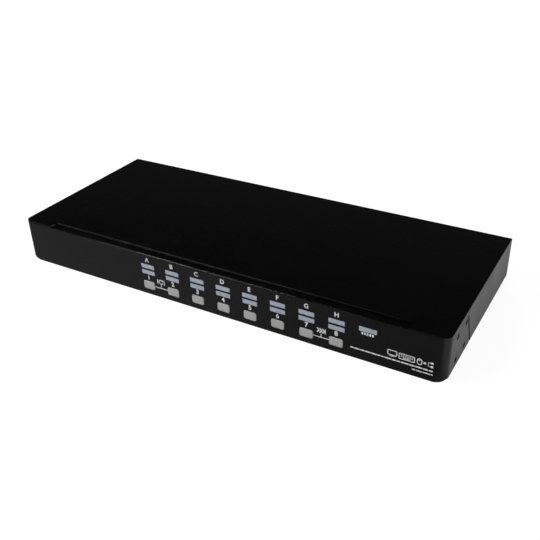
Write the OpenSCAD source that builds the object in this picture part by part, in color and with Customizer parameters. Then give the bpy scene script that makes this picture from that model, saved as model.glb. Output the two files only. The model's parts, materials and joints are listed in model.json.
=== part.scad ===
// Rack-height KVM switch: sheet steel enclosure, eight selector buttons with
// two rows of indicator windows, sixteen computer ports in eight stacked
// pairs, a console group and a power inlet at the back.
//
// Frame: origin at the middle of the underside, +X to the right seen from
// the front, -Y towards the user (front panel), +Z up. Millimetres.

/* [Enclosure] */
// Overall width of the enclosure
body_w = 436; // [432:1:440]
// Depth of the enclosure from front panel to rear edge, without connectors
body_d = 178; // [176:1:190]
// Height of the enclosure (one rack unit less clearance)
body_h = 44; // [43.8:0.1:44.4]
// Sheet steel thickness
sheet_t = 1; // [0.9:0.05:1.1]
// Outer radius of the front panel's two upright corners
corner_r = 6; // [5:0.5:7]
// Radius of the bends along the front panel's top and bottom edges
bend_r = 1; // [0.6:0.1:1.2]
// How far the front edge of the cover is cut back over the middle
notch_d = 8.9; // [7:0.1:10]
// Distance from the side of the cover to the start of that cut
notch_in = 33; // [25:1:40]
// Height of the lower edge of the side walls above the underside
side_gap = 5; // [4.6:0.1:6]
// Width of the slanted seams between cover and front panel
seam = 1.6; // [1.2:0.1:1.8]
// Height of the level seams over the wings
seam_top = 0.4; // [0.3:0.1:0.6]

/* [Side wings and rack ear holes] */
// Distance from the front to the wing's slanted rear edge, at its top
wing_top = 45.1; // [44.6:0.1:48]
// Distance from the front to the wing's slanted rear edge, at its bottom
wing_bottom = 58.8; // [57:0.1:62]
// Height of the wing's upper edge
wing_h = 37.8; // [37:0.1:38.2]
// Distance from the front to the middle of the four ear holes
ear_y = 31.3; // [30.6:0.1:31.6]
// Height of the middle of the four ear holes
ear_z = 22.9; // [22:0.1:23]
// Spacing of the ear holes from front to back
ear_dy = 22; // [20:0.5:22.5]
// Spacing of the ear holes in height
ear_dz = 22; // [20:0.5:22]
// Radius of the threaded bore in the ear nuts (M4)
ear_bore_r = 2; // [1.7:0.1:2.1]

/* [Front panel controls] */
// Number of button columns
columns = 8; // [8]
// Distance from the left side to the middle of the first column
col_first = 151.7; // [151:0.1:152]
// Spacing of the columns
col_pitch = 27.3; // [27:0.1:27.5]
// Width of a button cap
btn_w = 12.6; // [11.8:0.1:12.8]
// Height of a button cap
btn_h = 8.2; // [7.4:0.1:8.4]
// Height of the button centres above the underside
btn_z = 10.5; // [10.2:0.1:10.8]
// How far a button cap stands out of the panel
btn_proud = 0.7; // [0.7:0.1:1.2]
// Running gap around each button cap
btn_gap = 0.2; // [0.15:0.05:0.3]
// Width of an indicator window
win_w = 14.6; // [14:0.1:15]
// Height of an indicator window
win_h = 4.5; // [4:0.1:4.6]
// Height of the centres of the upper row of windows
win_z_upper = 30.2; // [30:0.1:30.4]
// Height of the centres of the lower row of windows
win_z_lower = 24; // [23.8:0.1:24.2]
// Distance from the left side to the middle of the single power window
pwr_x = 370; // [368:1:372]
// Width of the power window
pwr_w = 15.4; // [15:0.1:16.4]
// Height of the centre of the power window
pwr_z = 30.7; // [30:0.1:31]

/* [Rear ports] */
// Number of stacked computer port pairs
port_cols = 8; // [8]
// Place across the width of the first computer port pair
port_first = 96; // [94:1:96]
// Spacing of the port pairs
port_pitch = 38; // [36:0.5:38]
// Height of the lower row of ports
port_z_low = 13; // [12.6:0.1:13.2]
// Height between the two rows of ports
port_rise = 18.6; // [18.2:0.1:18.8]
// Place across the width of the console and chain ports
console_x = 138; // [136:1:140]
// Place across the width of the stacked USB sockets
usb_x = 172; // [170:1:174]
// Place across the width of the power inlet
dc_x = 196; // [194:1:198]
// Spacing of the two jackscrews of a port
jack_pitch = 25; // [24.9:0.1:25.1]
// Radius of the threaded bore in a jackscrew
jack_bore_r = 1.42; // [1.3:0.01:1.5]

/* [Hidden] */

$fn = 48;
overlap = 0.02;                  // makes touching shapes join
hair = 0.01;                     // keeps touching pieces apart
over = 1;                        // how far cutters reach past a surface

// Enclosure
half_w = body_w / 2;
half_d = body_d / 2;
front_y = -half_d;               // outer face of the front panel
inner_y = front_y + sheet_t;     // inner face of the front panel
rear_out = half_d - sheet_t;     // outer face of the rear panel
rear_in = rear_out - sheet_t;    // inner face of the rear panel
panel_h = body_h - sheet_t;      // top of both panels, under the cover
tray_half_w = half_w - sheet_t - 1.1;
tray_wall_h = 20;
flange_d = 12;                   // depth of the panels' inner flanges
ear_hole_r = 2.75;
ear_yz = [for (y = [-1, 1], z = [-1, 1])
          [front_y + ear_y + y * ear_dy / 2, ear_z + z * ear_dz / 2]];

// Fasteners
thread_r = 1.45;                 // cover and panel screws
tapped_r = 1.5;                  // their threaded holes
screw_x = [-150, -50, 50, 150];  // tray to panel screws
front_screw_y = inner_y + 6;
rear_screw_y = rear_in - 6;
cover_screw_xz = [for (x = [port_first - 2.5 * port_pitch, 18 - half_w, half_w - 12])
                  [x, panel_h - 3.4]];
ground_xz = [14 - half_w, 13];

// Boards
board_top = 6.6;                 // top of the main board
board_t = 1.6;
board_w = 412;
fb_front = front_y + 9.4;        // front face of the front board
fb_back = fb_front + board_t;
board_thread_r = 1.2;
standoff_bore_r = 1.25;
board_hole_r = 1.6;
standoff_xy = [[-199, 52], [0, 52], [199, 52], [-199, -26], [0, -26], [199, -26]];

// Controls
col_x0 = col_first - half_w;
column_x = [for (i = [0 : columns - 1]) col_x0 + i * col_pitch];
power_xz = [pwr_x - half_w, pwr_z];
upper_windows = [for (x = column_x) [x, win_z_upper]];
lower_windows = [for (x = column_x) [x, win_z_lower]];
column_mid = col_x0 + 3.5 * col_pitch;
fb_standoff_xz = [[col_x0 - 11.8, 19.5], [column_mid, 32.5], [column_mid, 8],
                  [power_xz.x + 16, 19.5]];

// Ports, as [x, z]
port_z_high = port_z_low + port_rise;
pair_x = [for (i = [0 : port_cols - 1]) port_first - i * port_pitch];
housing_x = concat(pair_x, [console_x]);
port_list = [for (x = pair_x, z = [port_z_low, port_z_high]) [x, z]];
console_xz = [console_x, port_z_low];
chain_xz = [console_x, port_z_high];
all_ports = concat(port_list, [console_xz, chain_xz]);
jack_hole_r = 1.6;
shell_w = 16.3;                  // D shell, socket side
shell_h = 7.9;
shell_r = 2.4;
usb_w = 13.2;
usb_h = 15.3;
usb_z0 = board_top + 0.2;
dc_xz = [dc_x, board_top + 6];
dc_barrel_r = 4;

// Colours used by more than one piece
black_screw = [0.12, 0.12, 0.12];
bright_screw = [0.7, 0.7, 0.68];
brass = [0.75, 0.6, 0.3];
board_green = [0.05, 0.3, 0.16];
window_blue = [0.68, 0.72, 0.78];
port_metal = [0.74, 0.74, 0.72];
pale_metal = [0.78, 0.78, 0.76];
plastic_black = [0.05, 0.05, 0.05];
chip_black = [0.06, 0.06, 0.06];

// ---------- shared shapes ----------

// Rounded rectangle about the origin
module rounded_rect(width, height, radius) {
    square([width - 2 * radius, height], center = true);
    square([width, height - 2 * radius], center = true);
    for (sx = [-1, 1], sy = [-1, 1])
        translate([sx * (width / 2 - radius), sy * (height / 2 - radius)]) circle(radius);
}

// 2D shape in X/Z, extruded from y0 to y1
module extrude_y(y0, y1) {
    translate([0, y1, 0]) rotate([90, 0, 0]) linear_extrude(y1 - y0) children();
}

// 2D shape in Y/Z, extruded from x0 to x1
module extrude_x(x0, x1) {
    translate([x0, 0, 0]) rotate([90, 0, 90]) linear_extrude(x1 - x0) children();
}

// Box centred across X
module x_box(width, y0, y1, z0, z1) {
    translate([-width / 2, y0, z0]) cube([width, y1 - y0, z1 - z0]);
}

module at_xz(place) {
    translate([place.x, 0, place.y]) children();
}

// Turns +Z towards the rear, starting at y
module facing_rear(y) {
    translate([0, y, 0]) rotate([-90, 0, 0]) children();
}

module rod_y(radius, y0, y1) {
    facing_rear(y0) cylinder(r = radius, h = y1 - y0);
}

// Plan of a box whose two front corners are round
module front_round(half, radius, y0, y1) {
    translate([-half, y0 + radius]) square([2 * half, y1 - y0 - radius]);
    translate([-half + radius, y0]) square([2 * half - 2 * radius, radius + 1]);
    for (side = [-1, 1])
        translate([side * (half - radius), y0 + radius]) circle(radius, $fn = 96);
}

// D outline of a socket, offset outwards by grow: wide edge up, sides leaning
module d_outline(grow = 0) {
    lean = 10;
    steps = 6;                   // in each round corner
    width = shell_w + 2 * grow;
    height = shell_h + 2 * grow;
    radius = shell_r + grow;
    centre_z = height / 2 - radius;
    top_x = width / 2 - radius * (1 + sin(lean)) / cos(lean);
    bottom_x = width / 2 - height * tan(lean) - radius * (1 - sin(lean)) / cos(lean);
    right = concat(
        [for (i = [0 : steps]) let (angle = 90 - (90 + lean) * i / steps)
            [top_x + radius * cos(angle), centre_z + radius * sin(angle)]],
        [for (i = [0 : steps]) let (angle = -lean - (90 - lean) * i / steps)
            [bottom_x + radius * cos(angle), -centre_z + radius * sin(angle)]]);
    left = [for (i = [len(right) - 1 : -1 : 0]) [-right[i].x, right[i].y]];
    polygon(concat(right, left));
}

// Cutter for the cross in a screw head
module cross_slot(length, width, z, height) {
    for (angle = [0, 90]) rotate([0, 0, angle])
        translate([-length / 2, -width / 2, z]) cube([length, width, height]);
}

// Pan head screw along +Z: thread below z = 0, head above
module pan_screw(radius, length, head_r, head_h) {
    translate([0, 0, -length]) cylinder(r = radius, h = length + overlap);
    difference() {
        cylinder(r1 = head_r, r2 = head_r * 0.86, h = head_h);
        cross_slot(head_r * 1.2, 0.7, head_h * 0.45, head_h);
    }
}

// Countersunk screw pointing up from z = 0, head flush with z = 0
module flush_screw(radius, length, head_r, head_h) {
    difference() {
        union() {
            cylinder(r1 = head_r, r2 = radius, h = head_h);
            cylinder(r = radius, h = length);
        }
        cross_slot(head_r * 1.1, 0.6, -1, 1.5);
    }
}

// ---------- enclosure ----------

tray_bend_r = 1.5;

// Profile of the tray across X: floor with rounded bends into the side walls
module tray_profile() {
    bend_x = tray_half_w - tray_bend_r;
    bend_in = tray_bend_r - sheet_t;
    slit = 0.001;
    difference() {
        union() {
            translate([-bend_x, 0]) square([2 * bend_x, sheet_t]);
            for (side = [-1, 1]) {
                // lower outer quarter of a disc
                translate([side * bend_x, tray_bend_r]) difference() {
                    circle(tray_bend_r);
                    translate([-3, 0]) square([6, 3]);
                    translate([side > 0 ? -3 : 0, -3]) square([3, 6]);
                }
                translate([side > 0 ? tray_half_w - sheet_t : -tray_half_w, tray_bend_r])
                    square([sheet_t, tray_wall_h - tray_bend_r]);
            }
        }
        for (side = [-1, 1]) translate([side * bend_x, tray_bend_r]) circle(bend_in);
        // hairline slits level with the top of the floor
        for (side = [-1, 1])
            translate([side > 0 ? bend_x - slit : -tray_half_w + sheet_t, sheet_t])
                square([bend_in + slit, slit]);
    }
}

module base_tray() color([0.07, 0.07, 0.07]) {
    tray_corner_r = 12;
    front_end = front_y + 67;    // rear end of the round-cornered front part
    floor_y = front_y + 60;
    wall_y = inner_y + 0.05;
    floor_half_w = tray_half_w - tray_bend_r;
    difference() {
        union() {
            // floor, its front corners round inside the front panel's
            linear_extrude(sheet_t) {
                front_round(tray_half_w, tray_corner_r, inner_y, front_end);
                translate([-floor_half_w, floor_y])
                    square([2 * floor_half_w, rear_out - floor_y]);
            }
            // low side walls in front, round the corners
            linear_extrude(side_gap + 0.5) intersection() {
                difference() {
                    front_round(tray_half_w, tray_corner_r, wall_y, front_end);
                    front_round(tray_half_w - sheet_t, tray_corner_r - sheet_t,
                                wall_y + sheet_t, front_end + 3);
                }
                for (m = [0, 1]) mirror([m, 0])
                    translate([tray_half_w - tray_corner_r, front_y])
                        square([tray_corner_r + 1, front_end + 1 - front_y]);
            }
            // side walls with rounded bends
            extrude_y(front_end - 1, rear_in) tray_profile();
        }
        // countersunk holes for the two panels' screws
        for (x = screw_x, y = [front_screw_y, rear_screw_y]) translate([x, y, -overlap]) {
            cylinder(r1 = 2.8, r2 = 1.7, h = 1.1 + overlap);
            cylinder(r = 1.7, h = 3);
        }
        // holes under the standoffs
        for (xy = standoff_xy)
            translate([xy.x, xy.y, -over]) cylinder(r = standoff_bore_r, h = 4);
    }
}

// Slanting cutter under the front panel's right corner, rising from the
// underside to the wing's lower edge, drawn across the corner's diagonal
module corner_cut() {
    slope = 0.55;
    start = (half_w + front_y - 11) / sqrt(2);
    end = start + side_gap / slope;
    short = 0.15;                // stops this far under the wing's lower edge
    rotate([0, 0, 45]) extrude_y(-235, -195)
        polygon([[start - 1 / slope, -1], [end + 30, -1], [end + 30, side_gap - short],
                 [end - short / slope, side_gap - short]]);
}

// Wall with round corners, and wings with a slanted rear edge
module panel_wall() {
    wing_y = front_y + corner_r;
    difference() {
        intersection() {
            linear_extrude(panel_h) difference() {
                front_round(half_w, corner_r, front_y, front_y + wing_bottom + 4);
                front_round(half_w - sheet_t, corner_r - sheet_t, inner_y,
                            front_y + wing_bottom + 6);
            }
            extrude_x(-half_w - over, half_w + over)
                polygon([[front_y - over, 0], [wing_y, 0],
                         [wing_y, side_gap],
                         [front_y + wing_bottom, side_gap],
                         [front_y + wing_top, wing_h],
                         [wing_y, wing_h],
                         [wing_y, panel_h], [front_y - over, panel_h]]);
        }
        for (m = [0, 1]) mirror([m, 0, 0]) corner_cut();
    }
}

// Cutters that round the panel's top and bottom edges
module edge_rounding() {
    for (m = [0, 1])
        translate([0, front_y + bend_r, m == 0 ? panel_h - bend_r : bend_r])
            mirror([0, 0, m]) rotate([0, 90, 0]) rotate([0, 0, 180])
                translate([0, 0, -half_w + corner_r])
                    linear_extrude(body_w - 2 * corner_r) difference() {
                        square([bend_r + 1, bend_r + 1]);
                        circle(bend_r);
                    }
}

module front_panel() color([0.12, 0.12, 0.125]) {
    flange_w = body_w - 2 * corner_r;
    flange_y = inner_y - 0.3;
    win_play = 0.2;
    difference() {
        union() {
            panel_wall();
            // top and bottom flanges
            x_box(flange_w, flange_y, inner_y + flange_d, panel_h - sheet_t, panel_h);
            x_box(flange_w - 20, flange_y, inner_y + flange_d, sheet_t, 2 * sheet_t);
        }
        edge_rounding();
        // windows and button openings
        extrude_y(front_y - over, inner_y + over) {
            for (xz = concat(upper_windows, lower_windows))
                translate(xz) rounded_rect(win_w + win_play, win_h + win_play, 0.6);
            translate(power_xz) rounded_rect(pwr_w + win_play, win_h + win_play, 0.6);
            for (x = column_x) translate([x, btn_z])
                rounded_rect(btn_w + 2 * btn_gap, btn_h + 2 * btn_gap, 2);
        }
        // rack ear holes, seats for the pressed nuts
        for (yz = ear_yz) translate([-half_w - over, yz[0], yz[1]])
            rotate([0, 90, 0]) cylinder(r = ear_hole_r, h = body_w + 2 * over);
        // threaded holes for the screws from below
        for (x = screw_x) translate([x, front_screw_y, 0]) cylinder(r = tapped_r, h = 4);
        // holes for the front board's studs
        for (xz = fb_standoff_xz) at_xz(xz) rod_y(1.5, inner_y - 0.6, inner_y + 1.4);
    }
}

module rear_panel() color([0.08, 0.08, 0.08]) {
    side_play = 0.1;
    difference() {
        union() {
            // narrow between the tray's walls, wide above them
            x_box(2 * (tray_half_w - sheet_t - side_play), rear_in, rear_out, sheet_t, panel_h);
            x_box(2 * (half_w - sheet_t - side_play), rear_in, rear_out,
                  tray_wall_h + 0.2, panel_h);
            // top and bottom flanges
            for (z = [panel_h - sheet_t, sheet_t])
                x_box(2 * tray_half_w - 6, rear_in - flange_d, rear_in + 0.3, z, z + sheet_t);
        }
        extrude_y(rear_in - over, rear_out + over) {
            for (xz = all_ports) translate(xz) {
                d_outline(0.25);
                for (side = [-1, 1]) translate([side * jack_pitch / 2, 0]) circle(jack_hole_r);
            }
            translate([usb_x, usb_z0 + usb_h / 2])
                square([usb_w + 0.3, usb_h + 0.4], center = true);
            translate(dc_xz) circle(dc_barrel_r + 0.2);
            translate(ground_xz) circle(2.0);
            for (xz = cover_screw_xz) translate(xz) circle(tapped_r);
        }
        for (x = screw_x) translate([x, rear_screw_y, 0]) cylinder(r = tapped_r, h = 4);
    }
}

module top_cover() color([0.03, 0.03, 0.03]) {
    inside_w = body_w - 2 * sheet_t;
    cut_w = body_w + 2 * over;
    lip_h = 6.4;
    wing_slope = (wing_bottom - wing_top) / (wing_h - side_gap);
    wing_y = front_y + seam;
    wing_cut_h = wing_h + seam_top;
    difference() {
        // full block, cut back over the middle of the front
        linear_extrude(body_h) difference() {
            front_round(half_w, corner_r, front_y, half_d);
            translate([-half_w + notch_in, front_y - over])
                square([body_w - 2 * notch_in, notch_d + over]);
        }
        // hollow below the plate, inside the walls
        x_box(inside_w, front_y - over, rear_out, -1, panel_h);
        // walls start behind the front panel's corners
        x_box(cut_w, front_y - over, front_y + corner_r + 0.2, -1, panel_h);
        // walls stop above the underside
        x_box(cut_w, front_y - over, half_d + over, -1, side_gap);
        // room for the wings, one seam away from them
        extrude_x(-half_w - over, half_w + over)
            polygon([[front_y - over, -1],
                     [wing_y + wing_bottom + wing_slope * (side_gap + 1), -1],
                     [wing_y + wing_top - wing_slope * seam_top, wing_cut_h],
                     [front_y - over, wing_cut_h]]);
        // rear lip: only the top strip stays behind the rear panel
        x_box(inside_w, rear_in - over, half_d + sheet_t + over, -1, panel_h - lip_h);
        for (xz = cover_screw_xz) at_xz(xz) rod_y(1.7, rear_in, rear_in + 5);
    }
}

module ear_nuts() color(black_screw) {
    recess = 0.25;               // nut face below the panel's outer face
    for (side = [-1, 1], yz = ear_yz)
        translate([side * half_w, yz[0], yz[1]]) rotate([0, -90 * side, 0]) difference() {
            union() {
                translate([0, 0, recess])
                    cylinder(r = ear_hole_r - 0.02, h = sheet_t - recess + overlap);
                translate([0, 0, sheet_t + hair]) cylinder(r = 3.9, h = 1.8);
            }
            translate([0, 0, -over]) cylinder(r = ear_bore_r, h = 6);
        }
}

module cover_screws() color(black_screw) {
    for (xz = cover_screw_xz) at_xz(xz) facing_rear(half_d + hair)
        pan_screw(radius = thread_r, length = 5, head_r = 2.7, head_h = 1.7);
}

// Row of countersunk screws up through the tray
module tray_screw_row(y, length) {
    for (x = screw_x) translate([x, y, 0.03])
        flush_screw(radius = thread_r, length = length, head_r = 2.6, head_h = 1.0);
}

module front_panel_screws() color(black_screw) tray_screw_row(front_screw_y, 5);

module rear_panel_screws() color(black_screw) tray_screw_row(rear_screw_y, 4.2);

module ground_screw() color([0.72, 0.71, 0.68]) at_xz(ground_xz) {
    facing_rear(rear_out + hair) {
        pan_screw(radius = 1.95, length = 6, head_r = 3.9, head_h = 2.4);
        // disc under the head
        cylinder(r = 4.4, h = 0.7);
    }
    // nut on the panel's inner face
    translate([0, rear_in - hair, 0]) rotate([90, 0, 0]) difference() {
        cylinder(r = 4, h = 3.1, $fn = 6);
        translate([0, 0, -over]) cylinder(r = 1.97, h = 6);
    }
}

module insulating_sheet() color([0.85, 0.85, 0.8]) {
    difference() {
        x_box(board_w, -36, 72, sheet_t, sheet_t + 0.3);
        for (xy = standoff_xy) translate(xy) cylinder(r = 4, h = 3);
    }
}

// ---------- boards ----------

module main_board() color(board_green) {
    difference() {
        x_box(board_w, -34, half_d - 5, board_top - board_t, board_top);
        for (xy = standoff_xy) translate(xy) cylinder(r = board_hole_r, h = 10);
    }
}

module board_standoffs() color(brass) {
    for (xy = standoff_xy) translate([xy.x, xy.y, sheet_t]) difference() {
        cylinder(r = 2.9, h = board_top - board_t - sheet_t, $fn = 6);
        translate([0, 0, -over]) cylinder(r = standoff_bore_r, h = 8);
    }
}

module board_screws() color(bright_screw) {
    for (xy = standoff_xy) translate([xy.x, xy.y, board_top])
        pan_screw(radius = board_thread_r, length = 4.5, head_r = 2.75, head_h = 1.7);
}

module front_board() color(board_green) {
    left_x = col_x0 - 16;
    right_x = power_xz.x + 21;
    difference() {
        translate([left_x, fb_front, 3]) cube([right_x - left_x, board_t, 34.5]);
        for (xz = fb_standoff_xz) at_xz(xz) rod_y(board_hole_r, fb_front - 1, fb_front + 3);
    }
}

module front_board_standoffs() color(brass) {
    for (xz = fb_standoff_xz) at_xz(xz) facing_rear(inner_y) difference() {
        union() {
            cylinder(r = 2.6, h = fb_front - inner_y, $fn = 6);
            // stud in the front panel
            translate([0, 0, -0.55]) cylinder(r = 1.48, h = 0.6);
        }
        translate([0, 0, 2]) cylinder(r = standoff_bore_r, h = 12);
    }
}

module front_board_screws() color(bright_screw) {
    for (xz = fb_standoff_xz) at_xz(xz) facing_rear(fb_back)
        pan_screw(radius = board_thread_r, length = 6, head_r = 2.6, head_h = 1.6);
}

// Ribbon and its headers: one on the front board's back, one on the main board
header_x = 60;
header_w = 34;
header_t = 8.8;
fb_header_z = 20;
fb_header_end = fb_back + 7;
board_header_y = -20;
board_header_top = board_top + 9;

// Point and derivative of a cubic Bezier curve at u from 0 to 1
function bezier(ctrl, u) =
    pow(1 - u, 3) * ctrl[0] + 3 * u * pow(1 - u, 2) * ctrl[1]
    + 3 * u * u * (1 - u) * ctrl[2] + u * u * u * ctrl[3];
function bezier_slope(ctrl, u) =
    3 * pow(1 - u, 2) * (ctrl[1] - ctrl[0]) + 6 * u * (1 - u) * (ctrl[2] - ctrl[1])
    + 3 * u * u * (ctrl[3] - ctrl[2]);
// Point of the curve moved sideways
function bezier_beside(ctrl, u, shift) =
    let (slope = bezier_slope(ctrl, u))
    bezier(ctrl, u) + shift * [-slope.y, slope.x] / norm(slope);

module ribbon_cable() color([0.55, 0.55, 0.55]) {
    ribbon_w = 25.4;
    half_t = 0.45;
    steps = 20;
    // control points [y, z]
    ctrl = [[fb_header_end, fb_header_z], [fb_back + 26, fb_header_z],
            [board_header_y, 38], [board_header_y, board_header_top]];
    extrude_x(header_x - ribbon_w / 2, header_x + ribbon_w / 2)
        polygon(concat([for (i = [0 : steps]) bezier_beside(ctrl, i / steps, half_t)],
                       [for (i = [steps : -1 : 0]) bezier_beside(ctrl, i / steps, -half_t)]));
}

module board_headers() color([0.1, 0.1, 0.1]) translate([header_x, 0, 0]) {
    x_box(header_w, fb_back, fb_header_end,
          fb_header_z - header_t / 2, fb_header_z + header_t / 2);
    x_box(header_w, board_header_y - header_t / 2, board_header_y + header_t / 2,
          board_top, board_header_top);
}

// ---------- buttons ----------

cap_back = inner_y + 0.05;
switch_front = fb_front - 3.5;
plunger_front = switch_front - 1.9;

module button(i) color([0.66, 0.66, 0.65]) at_xz([column_x[i - 1], btn_z]) {
    cap_face = front_y - btn_proud;
    // cap with a soft edge in three steps
    extrude_y(cap_face + 0.3, cap_back + 1) rounded_rect(btn_w, btn_h, 1.8);
    extrude_y(cap_face + 0.1, cap_face + 0.4) rounded_rect(btn_w - 0.3, btn_h - 0.3, 1.7);
    extrude_y(cap_face, cap_face + 0.2) rounded_rect(btn_w - 0.8, btn_h - 0.8, 1.5);
    // collar that keeps the cap behind the panel
    extrude_y(cap_back, cap_back + 1.3) rounded_rect(btn_w + 2, btn_h + 2, 1.2);
    // stem to the switch
    rod_y(1.6, cap_back + 1, plunger_front);
}

module plunger(i) color([0.1, 0.1, 0.1]) at_xz([column_x[i - 1], btn_z])
    rod_y(1.75, plunger_front, plunger_front + 2.5);

module switch_bodies() color([0.15, 0.15, 0.16]) {
    for (x = column_x) at_xz([x, btn_z]) difference() {
        x_box(6, switch_front, fb_front, -3, 3);
        rod_y(1.82, switch_front - 1, switch_front + 2.1);
    }
}

// ---------- indicators ----------

// Light guide: window face, ears behind the panel, and a neck to the lamp
module light_guide(width) {
    guide_back = inner_y + 1.4;
    extrude_y(front_y + 0.05, guide_back) rounded_rect(width, win_h, 0.5);
    x_box(width + 3.2, inner_y + 0.05, guide_back, -win_h / 2, win_h / 2);
    x_box(5, inner_y + 1, fb_front - 1.3, -1.2, 1.2);
}

module bank_light_windows() color(window_blue) {
    for (xz = upper_windows) at_xz(xz) light_guide(win_w);
}

module port_light_windows() color(window_blue) {
    for (xz = lower_windows) at_xz(xz) light_guide(win_w);
}

module power_light_window() color([0.66, 0.7, 0.76]) at_xz(power_xz) light_guide(pwr_w);

module indicator_leds() color([0.95, 0.95, 0.85]) {
    for (xz = concat(upper_windows, lower_windows, [power_xz]))
        at_xz(xz) x_box(3.2, fb_front - 1.1, fb_front, -0.8, 0.8);
}

// ---------- rear connectors ----------

shell_wall = 0.45;
shell_tip = rear_out + 6;
port_flange_w = 30.8;
port_flange_h = 12.5;
port_flange_y = rear_in - 0.8;   // front face of the flange

// Metal shell of one D socket with its flange, about the port centre
module d_shell() {
    difference() {
        union() {
            extrude_y(port_flange_y, rear_in - hair)
                rounded_rect(port_flange_w, port_flange_h, 1);
            extrude_y(rear_in - 0.4, shell_tip) d_outline();
        }
        extrude_y(rear_in - 3, shell_tip + over) d_outline(-shell_wall);
        for (side = [-1, 1]) translate([side * jack_pitch / 2, 0, 0])
            rod_y(jack_hole_r, rear_in - 3, rear_in + 2);
    }
}

// Plastic insert with three rows of five contact holes
module d_insulator() {
    contact_pitch = 2.29;
    row_pitch = 1.98;
    row_shift = -0.57;           // sideways shift from row to row
    difference() {
        extrude_y(port_flange_y, shell_tip - 0.5) d_outline(-shell_wall - 0.05);
        for (row = [-1, 0, 1], i = [-2 : 2])
            at_xz([i * contact_pitch + row * row_shift, row * row_pitch])
                rod_y(0.5, shell_tip - 5, shell_tip + 1, $fn = 16);
    }
}

module port_shells() color(port_metal) {
    for (xz = port_list) at_xz(xz) d_shell();
}

module port_insulators() color(plastic_black) {
    for (xz = port_list) at_xz(xz) d_insulator();
}

module port_housings() color(plastic_black) {
    for (x = housing_x) translate([x, 0, 0]) difference() {
        x_box(port_flange_w, port_flange_y - 14, port_flange_y,
              board_top, port_z_high + port_flange_h / 2);
        for (z = [port_z_low, port_z_high], side = [-1, 1])
            at_xz([side * jack_pitch / 2, z])
                rod_y(1.5, port_flange_y - 7, port_flange_y + 1);
    }
}

module jackscrews() color(pale_metal) {
    tail = 6;
    for (xz = all_ports, side = [-1, 1]) at_xz([xz.x + side * jack_pitch / 2, xz.y])
        facing_rear(rear_out + hair) difference() {
            union() {
                cylinder(r = 2.75, h = 5, $fn = 6);
                translate([0, 0, -tail]) cylinder(r = 1.4, h = tail + overlap);
            }
            translate([0, 0, 0.5]) cylinder(r = jack_bore_r, h = 6);
        }
}

module console_port_shell() color(port_metal) at_xz(console_xz) d_shell();

module console_port_insulator() color([0.08, 0.18, 0.5]) at_xz(console_xz) d_insulator();

module chain_port_shell() color(port_metal) at_xz(chain_xz) d_shell();

module chain_port_insulator() color(plastic_black) at_xz(chain_xz) d_insulator();

usb_open_z = [usb_z0 + 0.9, usb_z0 + 9.3];   // lower edges of the two openings
usb_tip = rear_out + 2.2;
usb_floor = rear_in - 9;

module usb_shell() color([0.76, 0.76, 0.74]) translate([usb_x, 0, 0]) difference() {
    x_box(usb_w, rear_in - 13, usb_tip, usb_z0, usb_z0 + usb_h);
    for (z = usb_open_z) x_box(12.5, usb_floor, usb_floor + 30, z, z + 5.1);
}

module usb_tongues() color([0.93, 0.93, 0.9]) translate([usb_x, 0, 0]) {
    for (z = usb_open_z) x_box(11.1, usb_floor, usb_tip - 1.2, z + 2.7, z + 4.54);
}

dc_pin_r = 1.0;
dc_pin_y = rear_in - 12;

module dc_jack() color(plastic_black) difference() {
    union() {
        translate([dc_x, 0, 0])
            x_box(9, rear_in - 13.5, rear_in - 0.1, board_top, board_top + 11);
        at_xz(dc_xz) rod_y(dc_barrel_r, rear_in - 1, rear_in + 1.4);
    }
    at_xz(dc_xz) {
        rod_y(3.1, rear_in - 9, rear_in + 11);
        rod_y(dc_pin_r + 0.02, dc_pin_y, dc_pin_y + 20);
    }
}

module dc_jack_pin() color([0.8, 0.8, 0.75])
    at_xz(dc_xz) rod_y(dc_pin_r, dc_pin_y, dc_pin_y + 11.6);

// ---------- electronics on the main board ----------

controller_xy = [120, 8];

module on_board(xy) {
    translate([xy.x, xy.y, board_top]) children();
}

module chip(width, depth, height) {
    x_box(width, -depth / 2, depth / 2, 0, height);
}

module controller_chip() color(chip_black) on_board(controller_xy) chip(22, 22, 1.5);

module switching_chips() color(chip_black) {
    // one video switch behind each port controller, in line with the ports
    for (x = housing_x) on_board([x, 56]) chip(10.3, 7.5, 2.2);
    // no port controller close to the controller chip
    for (x = housing_x) if (abs(x - controller_xy.x) > 20)
        on_board([x, 34]) chip(10, 10, 1.4);
    for (x = [-150, -94, -38]) on_board([x, 0]) chip(14, 14, 1.4);
}

module capacitors() color([0.1, 0.1, 0.12]) {
    for (xy = [[178, 40], [188, 28], [164, 28], [-190, 34], [-190, -4], [20, -8]])
        on_board(xy) {
            cylinder(r = 4, h = 9);
            cylinder(r = 4.4, h = 0.8);
        }
}

module inductors() color([0.2, 0.2, 0.2]) {
    for (xy = [[176, 8], [190, 8]]) on_board(xy) {
        chip(11, 11, 1);
        cylinder(r = 5, h = 5);
        chip(10, 10, 3);
    }
}

module crystal() color(pale_metal) {
    straight = 7;
    depth = 4.6;
    on_board([98, -14]) linear_extrude(3.5) {
        square([straight, depth], center = true);
        for (side = [-1, 1]) translate([side * straight / 2, 0]) circle(depth / 2);
    }
}

regulator_xy = [173, -20.2];     // middle of the regulator's front face

module regulator() color([0.08, 0.08, 0.08]) on_board(regulator_xy) {
    body_z0 = 3;
    body_z1 = 12;
    x_box(10, 0, 4.4, body_z0, body_z1);
    // three leads
    for (i = [0 : 2]) translate([-3 + i * 2.54, 1.8, 0]) cube([0.9, 0.6, body_z0 + overlap]);
    // tab
    x_box(10, 0, 1.3, body_z1 - overlap, body_z1 - overlap + 5);
}

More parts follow.
